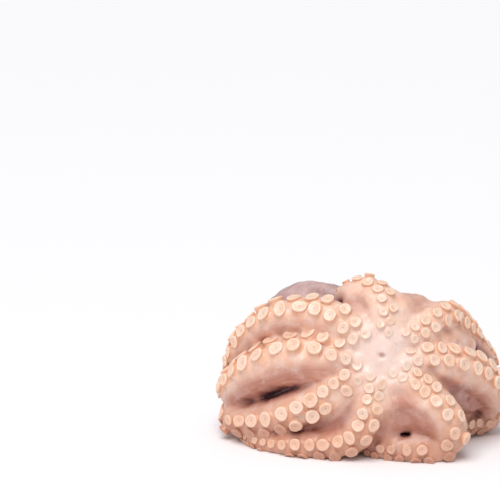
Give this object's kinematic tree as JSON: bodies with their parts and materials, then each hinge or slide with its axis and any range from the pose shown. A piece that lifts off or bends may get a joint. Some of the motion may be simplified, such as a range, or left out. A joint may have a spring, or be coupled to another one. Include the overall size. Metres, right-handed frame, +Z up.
{
  "type": "whole octopus",
  "caption": "Whole raw octopus lying mouth side forward, with suckered arms spread from the mouth and curled back round the head and mantle.",
  "frame": {"origin": "middle of the footprint, on the surface that the octopus rests on", "axes": "+Z up, +X along the longest side, the mouth and the suckers face -Y"},
  "size_m": [0.2294, 0.1424, 0.1348],
  "materials": {
    "flesh": "wet pale peach flesh, cream suckers, greyish purple skin in the folds"
  },
  "bodies": {
    "root": {"octopus": "flesh"}
  },
  "joints": []
}
